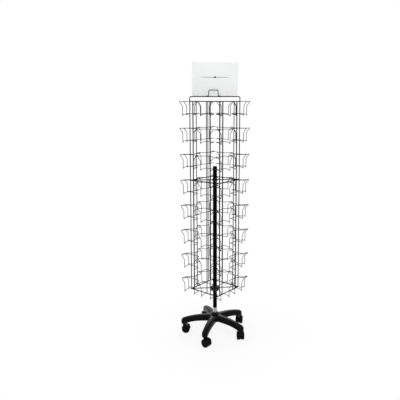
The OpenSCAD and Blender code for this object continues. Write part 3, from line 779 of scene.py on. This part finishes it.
@dataclass
class SignPanel:
    """Panel that stands between the clips on the hoop's bar, with a rule printed on both faces."""

    width: float = 297.0
    height: float = 210.0
    thickness: float = 3.0
    foot_z: float = 1647.15
    corner: float = 1.2
    edge: float = 0.35
    ink: float = 0.12
    ink_sink: float = 0.05
    rule_z: float = 118.0
    rule_half: float = 96.0
    rule_t: float = 2.6
    rule_tip: float = 0.15
    rule_points: int = 61
    diamond_half: float = 9.0
    diamond_slope: float = 0.9

    def stand(self) -> np.ndarray:
        """Return the matrix that stands the panel on the hoop's bar."""
        return turn_z(45) @ shift(0, 0, self.foot_z)

    def slab(self) -> Shell:
        """Return the panel: an outline with rounded corners, drawn in a little at both faces."""
        half, top = self.width / 2, self.height
        arc = np.radians(np.linspace(0, 90, 5))
        outline = []
        for k, (x, z) in enumerate([(half, top), (-half, top), (-half, 0.0), (half, 0.0)]):
            turn = arc + math.pi / 2 * k
            cx = x - math.copysign(self.corner, x)
            cz = z - (self.corner if z else -self.corner)
            outline.append(np.stack([cx + self.corner * np.cos(turn),
                                     cz + self.corner * np.sin(turn)], -1))
        outline = np.concatenate(outline)
        middle = np.array([0, top / 2])
        rings = []
        for side, inset in ((-0.5, self.edge), (-0.5, 0.0), (0.5, 0.0), (0.5, self.edge)):
            y = side * (self.thickness - (0.0 if inset else 2 * self.edge))
            flat = middle + (outline - middle) * (1 - inset / np.array([half, top / 2]))
            rings.append(np.column_stack([flat[:, 0], np.full(len(flat), y), flat[:, 1]]))
        return loft(np.array(rings)[::-1]).moved(self.stand())

    def ornament(self) -> Shell:
        """Return a printer's rule for both faces: a tapered line with a diamond in its middle.

        The line's half width falls off as one minus the fourth power of its place along it.
        """
        share = np.linspace(-1, 1, self.rule_points)
        x = share * self.rule_half
        rise = self.rule_t / 2 * (1 - share ** 4) + self.rule_tip
        rise = np.maximum(rise, np.clip(self.diamond_half - np.abs(x), 0, None) * self.diamond_slope)
        shells = []
        for side in (-1, 1):
            inner, outer = ((self.thickness / 2 + proud) * side for proud in (-self.ink_sink, self.ink))
            rings = np.stack([np.stack([x, np.full(len(x), y), self.rule_z + lift * rise], -1)
                              for y, lift in ((inner, -1), (outer, -1), (outer, 1), (inner, 1))], 1)
            shell = loft(rings)
            shells.append(shell if side > 0 else shell.flipped())
        return joined(shells).moved(self.stand())

    def build(self, shop: Workshop) -> None:
        """Make the panel and the ornament printed on it."""
        shop.place("sign_board", self.slab(), Look.BOARD, "sign_panel")
        shop.place("sign_ornament", self.ornament(), Look.INK, body=shop.body_of("sign_panel"),
                   crease=20.0)


# Pole and hubs


@dataclass
class PoleSet:
    """Pole on its spigot, with its cap, the hubs that turn on it and what holds them up.

    Play is the clearance of a fit, and gap is that under a shoulder.
    """

    pole_r: float = 14.0
    pole_bore: float = 12.5
    foot_z: float = 189.15
    top_z: float = 1190.0
    play: float = 0.05
    gap: float = 0.15
    core_r: float = 4.0
    cap_t: float = 3.0
    cap_rim: float = 0.55
    cap_skirt: float = 12.0
    spigot_r: float = 13.8
    spigot_low: float = 92.5
    grip: float = 70.0
    bolt_head_r: float = 14.5
    bolt_head_t: float = 5.0
    bolt_span: Pair = (-1.0, 29.0)
    sleeve_r: float = 16.5
    sleeve_z: Pair = (92.5, 153.5)
    stop_r: float = 29.0
    stop_z: Pair = (318.7, 328.7)
    lip_r: Pair = (2.6, 3.4)
    lip_span: Pair = (-1.0, 0.35)
    washer_r: float = 27.0
    washer_z: Pair = (328.7, 330.7)
    hub_r: float = 30.0
    hub_z: Pair = (331.0, 343.0)
    hub_bush: float = 18.05
    middle_r: float = 16.9
    middle_z: Pair = (1092.5, 1108.5)
    middle_bush: float = 15.25
    bush_proud: float = 1.0
    bore: float = 14.05
    screw_r: float = 2.5
    screw_sink: float = 1.0
    socket_r: float = 1.3
    socket_depth: float = 1.8

    def spigot(self) -> Shell:
        """Return the spigot: a thick foot in the base and a thinner length inside the pole."""
        core = self.core_r + self.play
        shoulder, high = self.foot_z - self.gap, self.foot_z + self.grip
        inner = self.pole_bore - self.play
        profile = [(core, self.spigot_low), (self.spigot_r, self.spigot_low), (self.spigot_r, shoulder),
                   (inner, shoulder), (inner, high), (core, high)]
        return turned(eased(profile, 0.4), 64)

    def cap(self) -> Shell:
        """Return the pole's plug: a domed disc over a skirt."""
        z, core, skirt = self.top_z, self.core_r, self.pole_bore - 2 * self.play
        foot, rest = z - self.cap_skirt, z + self.play
        profile = [(core, foot), (skirt, foot), (skirt, rest), (self.pole_r, rest),
                   (self.pole_r, z + self.cap_t * self.cap_rim), (core, z + self.cap_t)]
        return turned(eased(profile, 0.9), 64)

    def bolt(self) -> Shell:
        """Return the bolt under the hub, with a six-sided head."""
        seat = self.spigot_low - self.gap
        foot, inset, wide = seat - self.bolt_head_t, self.core_r + 1, self.bolt_head_r
        head = turned(eased([(inset, foot), (wide, foot), (wide, seat), (inset, seat)], 0.6), 6)
        low, high = self.bolt_span
        return joined([head, rod(self.core_r, seat + low, seat + high, 0.4, 32)])

    def across(self, reach: float) -> np.ndarray:
        """Return the matrix that lays the Z axis along the collar's screw, reach out from the pole."""
        height = sum(self.stop_z) / 2
        along = np.array([[0, 0, 1, reach], [0, 1, 0, 0], [-1, 0, 0, height], [0, 0, 0, 1.0]])
        return turn_z(-45) @ along

    def collar(self) -> Shell:
        """Return the stop collar, with the rim of its screw's hole proud of it."""
        ring = tube(self.bore, self.stop_r, *self.stop_z, ease=0.8)
        lip = tube(*self.lip_r, *self.lip_span, ease=0.15, sides=32)
        return joined([ring, lip.moved(self.across(self.stop_r - 2 * self.play))])

    def screw(self) -> Shell:
        """Return the collar's grub screw, with a socket in its end."""
        start, end = self.bore + self.play, self.stop_r - self.screw_sink
        floor = end - self.socket_depth
        profile = [(1.2, start), (self.screw_r, start), (self.screw_r, end), (self.socket_r, end),
                   (self.socket_r, floor), (0.3, floor)]
        return turned(eased(profile, 0.15), 36).moved(self.across(0.0))

    def build(self, shop: Workshop) -> None:
        """Make the pole and everything turned about its axis."""
        play, proud, bore = self.play, self.bush_proud, self.bore
        hub_low, hub_high = self.hub_z
        low, high = self.middle_z
        pole = tube(self.pole_bore, self.pole_r, self.foot_z, self.top_z, 0.35, 96)
        sleeve = tube(self.spigot_r + play, self.sleeve_r, *self.sleeve_z, ease=0.7)
        washer = tube(bore, self.washer_r, *self.washer_z, ease=0.4)
        hub = tube(self.hub_bush + play, self.hub_r, hub_low, hub_high, 1.0, 96)
        bush = tube(bore, self.hub_bush, hub_low, hub_high + proud, 0.6)
        middle_hub = tube(self.middle_bush + play, self.middle_r, low, high, 0.5)
        middle_bush = tube(bore, self.middle_bush, low - proud, high + proud, 0.4)
        shop.place("pole_tube", pole, Look.POLE, "centre_pole")
        shop.place("pole_plug", self.cap(), Look.PLUG, "pole_cap")
        shop.place("spigot_turned", self.spigot(), Look.CHROME, "spigot")
        shop.place("hub_bolt", self.bolt(), Look.ZINC, "spigot_bolt", crease=25.0)
        shop.place("hub_sleeve_tube", sleeve, Look.DARK_STEEL, "hub_sleeve")
        shop.place("stop_collar_ring", self.collar(), Look.DARK_STEEL, "stop_collar")
        shop.place("collar_grub_screw", self.screw(), Look.ZINC, "collar_screw")
        shop.place("thrust_washer_ring", washer, Look.WHITE_BUSH, "thrust_washer")
        shop.place("lower_hub_ring", hub, Look.POWDER, "lower_hub")
        shop.place("lower_bush_ring", bush, Look.GREY_BUSH, "lower_bush")
        shop.place("middle_hub_ring", middle_hub, Look.POWDER, "mid_hub")
        shop.place("middle_bush_ring", middle_bush, Look.GREY_BUSH, "mid_bush")


# The base


def smooth_min(a: np.ndarray, b: np.ndarray, width: float) -> np.ndarray:
    """Return the lesser of two fields, blended where they differ by less than the width."""
    near = np.clip(width - np.abs(a - b), 0, None) / width
    return np.minimum(a, b) - near ** 2 * width / 4


def cut_away(shape: np.ndarray, tool: np.ndarray, width: float) -> np.ndarray:
    """Return a shape less a tool, with the edge between them rounded."""
    return -smooth_min(-shape, tool, width)


def block_field(*sides: np.ndarray, corner: float = 0.0) -> np.ndarray:
    """Return the field of a block from how far a point lies past each pair of its sides."""
    past = np.stack(sides, -1) + corner
    return np.linalg.norm(np.maximum(past, 0), axis=-1) + np.minimum(past.max(-1), 0) - corner


@dataclass
class StarBase:
    """Moulded five-arm base, hollow underneath, with the boss and sockets of its casters."""

    arms: int = 5
    first_angle: float = 3.5
    socket_r: float = 219.5
    tip_r: float = 20.3
    root_w: float = 27.0
    hub_r: float = 43.0
    top_z: float = 138.5
    drop: float = 28.0
    bottom_z: float = 92.5
    socket_z: float = 63.8
    top_curve: float = 2.4
    arch_curve: float = 4.2
    crown: float = 2.667
    belly: float = 5.0
    crotch: float = 16.0
    boss_r: float = 25.5
    boss_top: float = 150.5
    boss_sink: float = 6.0
    boss_wall: float = 3.0
    core_inset: float = 0.8
    core_top: float = 3.0
    core_foot: float = 9.0
    core_blend: float = 9.0
    bore: float = 16.55
    bore_inset: float = 1.0
    skin: float = 9.0
    side_wall: float = 6.0
    rib: float = 4.0
    bays: int = 3
    bay_span: Pair = (49.0, 205.0)
    bay_corner: float = 3.0
    bay_edge: float = 1.5
    stem_bore: float = 5.6
    socket_span: Pair = (53.8, 100.8)
    cell: float = 2.1

    def arm_frames(self, x: np.ndarray, y: np.ndarray) -> list[tuple[np.ndarray, np.ndarray]]:
        """Return points' places along and across each arm."""
        frames = []
        for number in range(self.arms):
            angle = math.radians(self.first_angle + 360 / self.arms * number)
            c, s = math.cos(angle), math.sin(angle)
            frames.append((c * x + s * y, c * y - s * x))
        return frames

    def half_width(self, reach: np.ndarray) -> np.ndarray:
        """Return an arm's half width, which falls evenly from the hub to the socket."""
        return self.root_w + (self.tip_r - self.root_w) * np.clip(reach / self.socket_r, 0, 1)

    def top(self, reach: np.ndarray) -> np.ndarray:
        """Return the height of the arms' tops, which sink as a power of the reach."""
        return self.top_z - self.drop * (reach / self.socket_r) ** self.top_curve

    def bottom(self, reach: np.ndarray) -> np.ndarray:
        """Return the height of the arms' undersides, which arch down to the sockets."""
        share = np.clip(reach / self.socket_r, 0, 1)
        return self.bottom_z - (self.bottom_z - self.socket_z) * share ** self.arch_curve

    def depth(self, points: np.ndarray) -> np.ndarray:
        """Return the base's field, negative inside.

        In plan the arms' outlines flow together. Across an arm, the place from its middle line
        to its outline and the place from its middle height to its top or underside are the two
        terms of a rounded square, softer above than below.
        """
        x, y, z = points[..., 0], points[..., 1], points[..., 2]
        reach = np.hypot(x, y)
        frames = self.arm_frames(x, y)
        plan = reach - self.hub_r
        for along, across in frames:
            inner = np.clip(along, 0, self.socket_r)
            arm = np.hypot(along - inner, across) - self.half_width(inner)
            plan = smooth_min(plan, arm, self.crotch)
        half = self.half_width(reach)
        top, bottom = self.top(reach), self.bottom(reach)
        rise = (top - bottom) / 2
        u = np.clip(1 + plan / half, 0, None)
        v = (z - (top + bottom) / 2) / rise
        power = np.where(v > 0, self.crown, self.belly)
        scaled = np.maximum((u ** power + np.abs(v) ** power) ** (1 / power), 1e-6)
        shape = np.hypot(u * half, v * rise) * (1 - 1 / scaled)
        core_ends = np.maximum(z - self.boss_top + self.core_top, self.bottom_z + self.core_foot - z)
        core = np.maximum(reach - self.boss_r + self.core_inset, core_ends)
        shape = smooth_min(shape, core, self.core_blend)
        start, end = self.bay_span
        pitch = (end - start + self.rib) / self.bays
        length = pitch - self.rib
        low, high = self.socket_span
        for along, across in frames:
            bay = np.clip(np.floor((along - start + self.rib / 2) / pitch), 0, self.bays - 1)
            middle = start + bay * pitch + length / 2
            sides = (np.abs(along - middle) - length / 2,
                     np.abs(across) - self.half_width(along) + self.side_wall,
                     z - self.top(np.abs(along)) + self.skin)
            shape = cut_away(shape, block_field(*sides, corner=self.bay_corner), self.bay_edge)
            socket = np.maximum(np.hypot(along - self.socket_r, across) - self.stem_bore, z - high)
            shape = np.maximum(shape, -np.maximum(socket, low - z))
        return np.maximum(shape, self.bore + self.bore_inset - reach)

    def moulding(self) -> Shell:
        """Return the base as the level surface of its field, with a turned boss on top."""
        reach = self.socket_r + self.tip_r + 3 * self.cell
        low = np.array([-reach, -reach, self.socket_z - 3 * self.cell])
        high = np.array([reach, reach, self.boss_top + 2 * self.cell])
        star = level_surface(self.depth, low, high, self.cell)
        foot, wall = self.top_z - self.boss_sink, self.bore + self.boss_wall
        loop = [(self.boss_r, foot), (self.boss_r, self.boss_top), (self.bore, self.boss_top),
                (self.bore, self.bottom_z), (wall, self.bottom_z), (wall, foot)]
        boss = turned(eased(loop, 1.3, closed=True), 96, closed=True)
        return joined([star, boss])

    def build(self, shop: Workshop) -> None:
        """Make the base."""
        shop.place("star_base_moulding", self.moulding(), Look.NYLON, "star_base", crease=55.0)


# The casters


@dataclass
class Caster:
    """Twin-wheel caster: a housing of web, hood and neck, a stem, an axle and two wheels."""

    number: int
    arm_angle: float
    trail_angle: float
    socket_r: float = 219.5
    trail: float = 14.0
    play: float = 0.05
    wheel_r: float = 28.0
    wheel_w: float = 18.0
    wheel_gap: float = 13.0
    rim_w: float = 6.0
    boss_w: float = 6.0
    dish: float = 3.0
    axle_r: float = 3.0
    axle_inset: float = 2.0
    hood_in: float = 29.0
    hood_out: float = 31.0
    hood_start: float = 35.0
    hood_sweep: float = 125.0
    hood_crown: float = 1.3
    web_t: float = 11.0
    web_r: float = 25.0
    web_blend: float = 1.6
    neck_r: float = 10.0
    neck_top: float = 61.0
    neck_blend: float = 4.0
    pivot_r: float = 4.0
    pivot_h: float = 13.0
    stem_r: float = 5.5
    stem_top: float = 98.8
    stem_core: float = 1.5
    stem_taper: Pair = (1.6, 3.0)
    collar_r: float = 8.5
    collar_t: float = 2.5
    cell: float = 1.08

    def frame(self) -> np.ndarray:
        """Return the caster's matrix: its stem on Z, its wheels trailing along X."""
        on_arm = turn_z(self.arm_angle) @ shift(self.socket_r, 0, 0)
        return on_arm @ turn_z(self.trail_angle - self.arm_angle)

    def about_axle(self) -> np.ndarray:
        """Return the matrix that lays the Z axis along the axle."""
        lay = [[1, 0, 0, self.trail], [0, 0, -1, 0], [0, 1, 0, self.wheel_r], [0, 0, 0, 1.0]]
        return self.frame() @ np.array(lay)

    def housing_depth(self, points: np.ndarray) -> np.ndarray:
        """Return the housing's field in the caster's own frame.

        The hood is a band about the axle, drawn in towards its two sides as the eighth power of
        the place across it. The web is a disc and a band between the wheels, and the neck is a
        post that runs down to the hood. They flow together like one moulding.
        """
        x, y, z = points[..., 0], points[..., 1], points[..., 2]
        reach = np.hypot(x - self.trail, z - self.wheel_r)
        half_sweep = self.hood_sweep / 2
        angle = np.degrees(np.arctan2(z - self.wheel_r, x - self.trail)) - self.hood_start - half_sweep
        angle = (angle + 180) % 360 - 180
        past = (np.abs(angle) - half_sweep) * np.radians(reach)
        half_w = self.wheel_gap / 2 + self.wheel_w
        crowned = reach + self.hood_crown * np.minimum(np.abs(y) / half_w, 1.1) ** 8
        middle, half_t = (self.hood_in + self.hood_out) / 2, (self.hood_out - self.hood_in) / 2
        hood = block_field(np.abs(crowned - middle) - half_t, np.abs(y) - half_w, past, corner=0.7)
        across = np.abs(y) - self.web_t / 2
        disc = block_field(reach - self.web_r, across, corner=1.0)
        inner = self.wheel_r / 2
        band_depth = np.abs(reach - (inner + middle) / 2) - (middle - inner) / 2
        band = block_field(band_depth, across, past, corner=0.6)
        above = np.maximum(middle - reach, self.wheel_r - z)
        neck = np.maximum(np.hypot(x, y) - self.neck_r, np.maximum(z - self.neck_top, above))
        shape = smooth_min(np.minimum(disc, band), hood, self.web_blend)
        shape = smooth_min(shape, neck, self.neck_blend)
        shape = np.maximum(shape, z - self.neck_top)
        shape = np.maximum(shape, self.axle_r + self.play - reach)
        floor = self.neck_top - self.pivot_h
        pivot = np.maximum(np.hypot(x, y) - self.pivot_r - self.play, floor - z)
        return np.maximum(shape, -pivot)

    def housing(self) -> Shell:
        """Return the housing's level surface in the caster's own frame."""
        half_w = self.wheel_gap / 2 + self.wheel_w + 3 * self.cell
        low = np.array([self.trail - self.hood_out - 3, -half_w, -2.0])
        high = np.array([self.trail + self.hood_out + 3, half_w, self.neck_top + 4])
        return level_surface(self.housing_depth, low, high, self.cell)

    def stem(self) -> Shell:
        """Return the stem: a pivot in the housing, a collar and a shank with a tapered tip."""
        foot, rest = self.neck_top - self.pivot_h, self.neck_top + self.play
        collar = self.neck_top + self.collar_t
        inward, down = self.stem_taper
        profile = [(self.stem_core, foot), (self.pivot_r, foot), (self.pivot_r, rest),
                   (self.collar_r, rest), (self.collar_r, collar), (self.stem_r, collar),
                   (self.stem_r, self.stem_top - down), (self.stem_r - inward, self.stem_top),
                   (self.stem_core, self.stem_top)]
        return turned(eased(profile, 0.5), 48).moved(self.frame())

    def axle(self) -> Shell:
        """Return the axle."""
        half = self.wheel_gap / 2 + self.wheel_w - self.axle_inset
        return rod(self.axle_r, -half, half, 0.5, 40).moved(self.about_axle())

    def wheel(self, side: int) -> Shell:
        """Return a wheel, with its inner face at height zero in its own frame.

        The profile runs out along the dished inner face, up the crowned tread and back in over
        the outer face, whose rim and boss have a groove each. A cap covers the axle's end.
        """
        r, w, bore = self.wheel_r, self.wheel_w, self.axle_r + self.play
        rim, boss = r - self.rim_w, self.axle_r + self.boss_w
        inner = [(bore, 0.4), (boss, 0.4), (boss, self.dish), (rim, self.dish), (rim, 0.4)]
        tread = [(r - 0.9, 0.4), (r, 1.5), (r, w - 5.5), (r - 1.0, w - 2.2), (r - 3.6, w)]
        outer_rim = [(rim + 0.4, w), (rim, w - 0.5), (rim - 0.5, w), (rim - 1.6, w - 0.3),
                     (rim - 2.8, w - 2.3)]
        outer_boss = [(boss + 2.4, w - 2.3), (boss + 1.0, w - 0.4), (boss - 0.4, w - 0.1),
                      (boss - 1.0, w - 0.8), (boss - 1.6, w - 0.1), (bore, w)]
        profile = eased(inner + tread + outer_rim + outer_boss, 0.45, closed=True, steps=3)
        cap = rod(bore + 0.2, w - 1.9, w - 0.25, 0.3, 40)
        flip = np.diag([1.0, side, side, 1.0])
        seat = self.about_axle() @ flip @ shift(0, 0, self.wheel_gap / 2)
        return joined([turned(profile, 80, closed=True), cap]).moved(seat)

    def build(self, shop: Workshop, housing: Shell) -> None:
        """Make the caster's pieces around a housing in the caster's own frame."""
        caster = f"caster_{self.number}"
        shop.place(f"{caster}_hood", housing.moved(self.frame()), Look.HOOD, f"{caster}_housing",
                   crease=50.0)
        for name, shell, look, node in (
                ("stem_pin", self.stem(), Look.ZINC, "stem"),
                ("axle_pin", self.axle(), Look.ZINC, "axle"),
                ("left_tread", self.wheel(1), Look.TREAD, "left_wheel"),
                ("right_tread", self.wheel(-1), Look.TREAD, "right_wheel")):
            shop.place(f"{caster}_{name}", shell, look, f"{caster}_{node}")


def build_casters(base: StarBase, trail_angles: Sizes, shop: Workshop) -> None:
    """Make a caster under each arm of the base, trailing at its own angle."""
    step = 360 / base.arms
    casters = [Caster(k + 1, base.first_angle + step * k, angle)
               for k, angle in enumerate(trail_angles)]
    housing = casters[0].housing()
    for caster in casters:
        caster.build(shop, housing)


# Floor, light and camera


@dataclass
class Studio:
    """Pale floor, soft light and the camera at the photograph's viewing angle."""

    place: Triple = (2.058, -2.497, 1.6135)
    heading: float = 39.5
    pitch: float = 12.03
    lens: float = 43.97
    sensor: float = 36.0
    shift: Pair = (-0.03725, 0.01375)
    far_clip: float = 100.0
    aim_z: float = 0.8
    world_strength: float = 0.62
    floor_half: float = 30.0
    floor_tone: float = 0.86
    floor_lift: float = 0.85
    fade: Pair = (0.25, 0.9)

    def floor(self) -> None:
        """Lay a pale floor with soft shadows near the stand.

        To the camera and in reflections it fades to the white of the sky with the distance from
        the stand, so that no horizon shows.
        """
        mesh = bpy.data.meshes.new("floor")
        h = self.floor_half
        mesh.from_pydata([(-h, -h, 0), (h, -h, 0), (h, h, 0), (-h, h, 0)], [], [(0, 1, 2, 3)])
        piece = bpy.data.objects.new("floor", mesh)
        bpy.context.scene.collection.objects.link(piece)
        paper = bpy.data.materials.new("floor_paper")
        graph = Graph(paper)
        shader = graph.first("BSDF_PRINCIPLED")
        shader.inputs["Base Color"].default_value = grey(self.floor_tone)
        shader.inputs["Roughness"].default_value = 0.9
        shader.inputs["Specular IOR Level"].default_value = 0.1
        rays = graph.node("ShaderNodeLightPath").outputs
        seen = graph.combined("MAXIMUM", rays["Is Camera Ray"], rays["Is Glossy Ray"])
        reach = graph.node("ShaderNodeVectorMath", operation="LENGTH")
        graph.feed(reach.inputs[0], graph.place)
        far = graph.ranged(reach.outputs["Value"], *self.fade, self.floor_lift, 1.0)
        blend = graph.node("ShaderNodeMixShader")
        graph.feed(blend.inputs[0], graph.combined("MULTIPLY", seen, far))
        graph.feed(blend.inputs[1], shader.outputs[0])
        graph.feed(blend.inputs[2], graph.node("ShaderNodeEmission").outputs[0])
        graph.feed(graph.first("OUTPUT_MATERIAL").inputs["Surface"], blend.outputs[0])
        mesh.materials.append(paper)

    def world(self) -> None:
        """Give an even sky that is white to the camera and in reflections."""
        world = bpy.data.worlds.new("soft_sky")
        graph = Graph(world)
        backdrop = graph.first("BACKGROUND")
        rays = graph.node("ShaderNodeLightPath").outputs
        seen = rays["Is Camera Ray"]
        for name in ("Is Glossy Ray", "Is Transmission Ray"):
            seen = graph.combined("MAXIMUM", seen, rays[name])
        backdrop.inputs["Color"].default_value = (1, 1, 1, 1)
        graph.feed(backdrop.inputs["Strength"], graph.ranged(seen, 0.0, 1.0, self.world_strength, 1.0))
        bpy.context.scene.world = world

    def lamp(self, name: str, place: Triple, power: float, size: float) -> None:
        """Hang a square lamp that faces the middle of the stand."""
        light = bpy.data.lights.new(name, "AREA")
        light.energy, light.size = power, size
        lamp = bpy.data.objects.new(name, light)
        lamp.location = place
        aim = np.array([0, 0, self.aim_z]) - np.array(place)
        tilt = math.atan2(math.hypot(aim[0], aim[1]), -aim[2])
        lamp.rotation_euler = (tilt, 0, math.atan2(-aim[0], aim[1]))
        bpy.context.scene.collection.objects.link(lamp)

    def camera(self) -> None:
        """Set the camera where the photograph was taken from."""
        camera = bpy.data.cameras.new("photo_camera")
        camera.lens, camera.sensor_width = self.lens, self.sensor
        camera.shift_x, camera.shift_y = self.shift
        camera.clip_end = self.far_clip
        holder = bpy.data.objects.new("photo_camera", camera)
        holder.location = self.place
        holder.rotation_euler = (math.radians(90 - self.pitch), 0, math.radians(self.heading))
        bpy.context.scene.collection.objects.link(holder)
        bpy.context.scene.camera = holder

    def build(self) -> None:
        """Make the floor, the light and the camera."""
        self.camera()
        self.floor()
        self.world()
        for lamp in (("key_lamp", (3.2, -2.2, 4.0), 108.0, 3.0),
                     ("fill_lamp", (-3.2, -3.2, 3.0), 56.0, 3.2),
                     ("back_lamp", (-2.4, 3.0, 3.0), 60.0, 2.4)):
            self.lamp(*lamp)
        bpy.context.scene.view_settings.view_transform = "Standard"


TRAIL_ANGLES = (134.5, 119.5, 146.5, 32.0, 0.0)


def main() -> None:
    """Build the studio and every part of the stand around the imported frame."""
    logging.basicConfig(level=logging.INFO, format="%(name)s: %(message)s")
    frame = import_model()
    shop = Workshop(frame)
    Studio().build()
    column = WireColumn()
    column.build(shop)
    PocketTier(column).build(shop)
    SignPanel().build(shop)
    PoleSet().build(shop)
    base = StarBase()
    base.build(shop)
    build_casters(base, TRAIL_ANGLES, shop)
    LOG.info("%d materials", len(shop.materials))


if __name__ == "__main__":
    main()
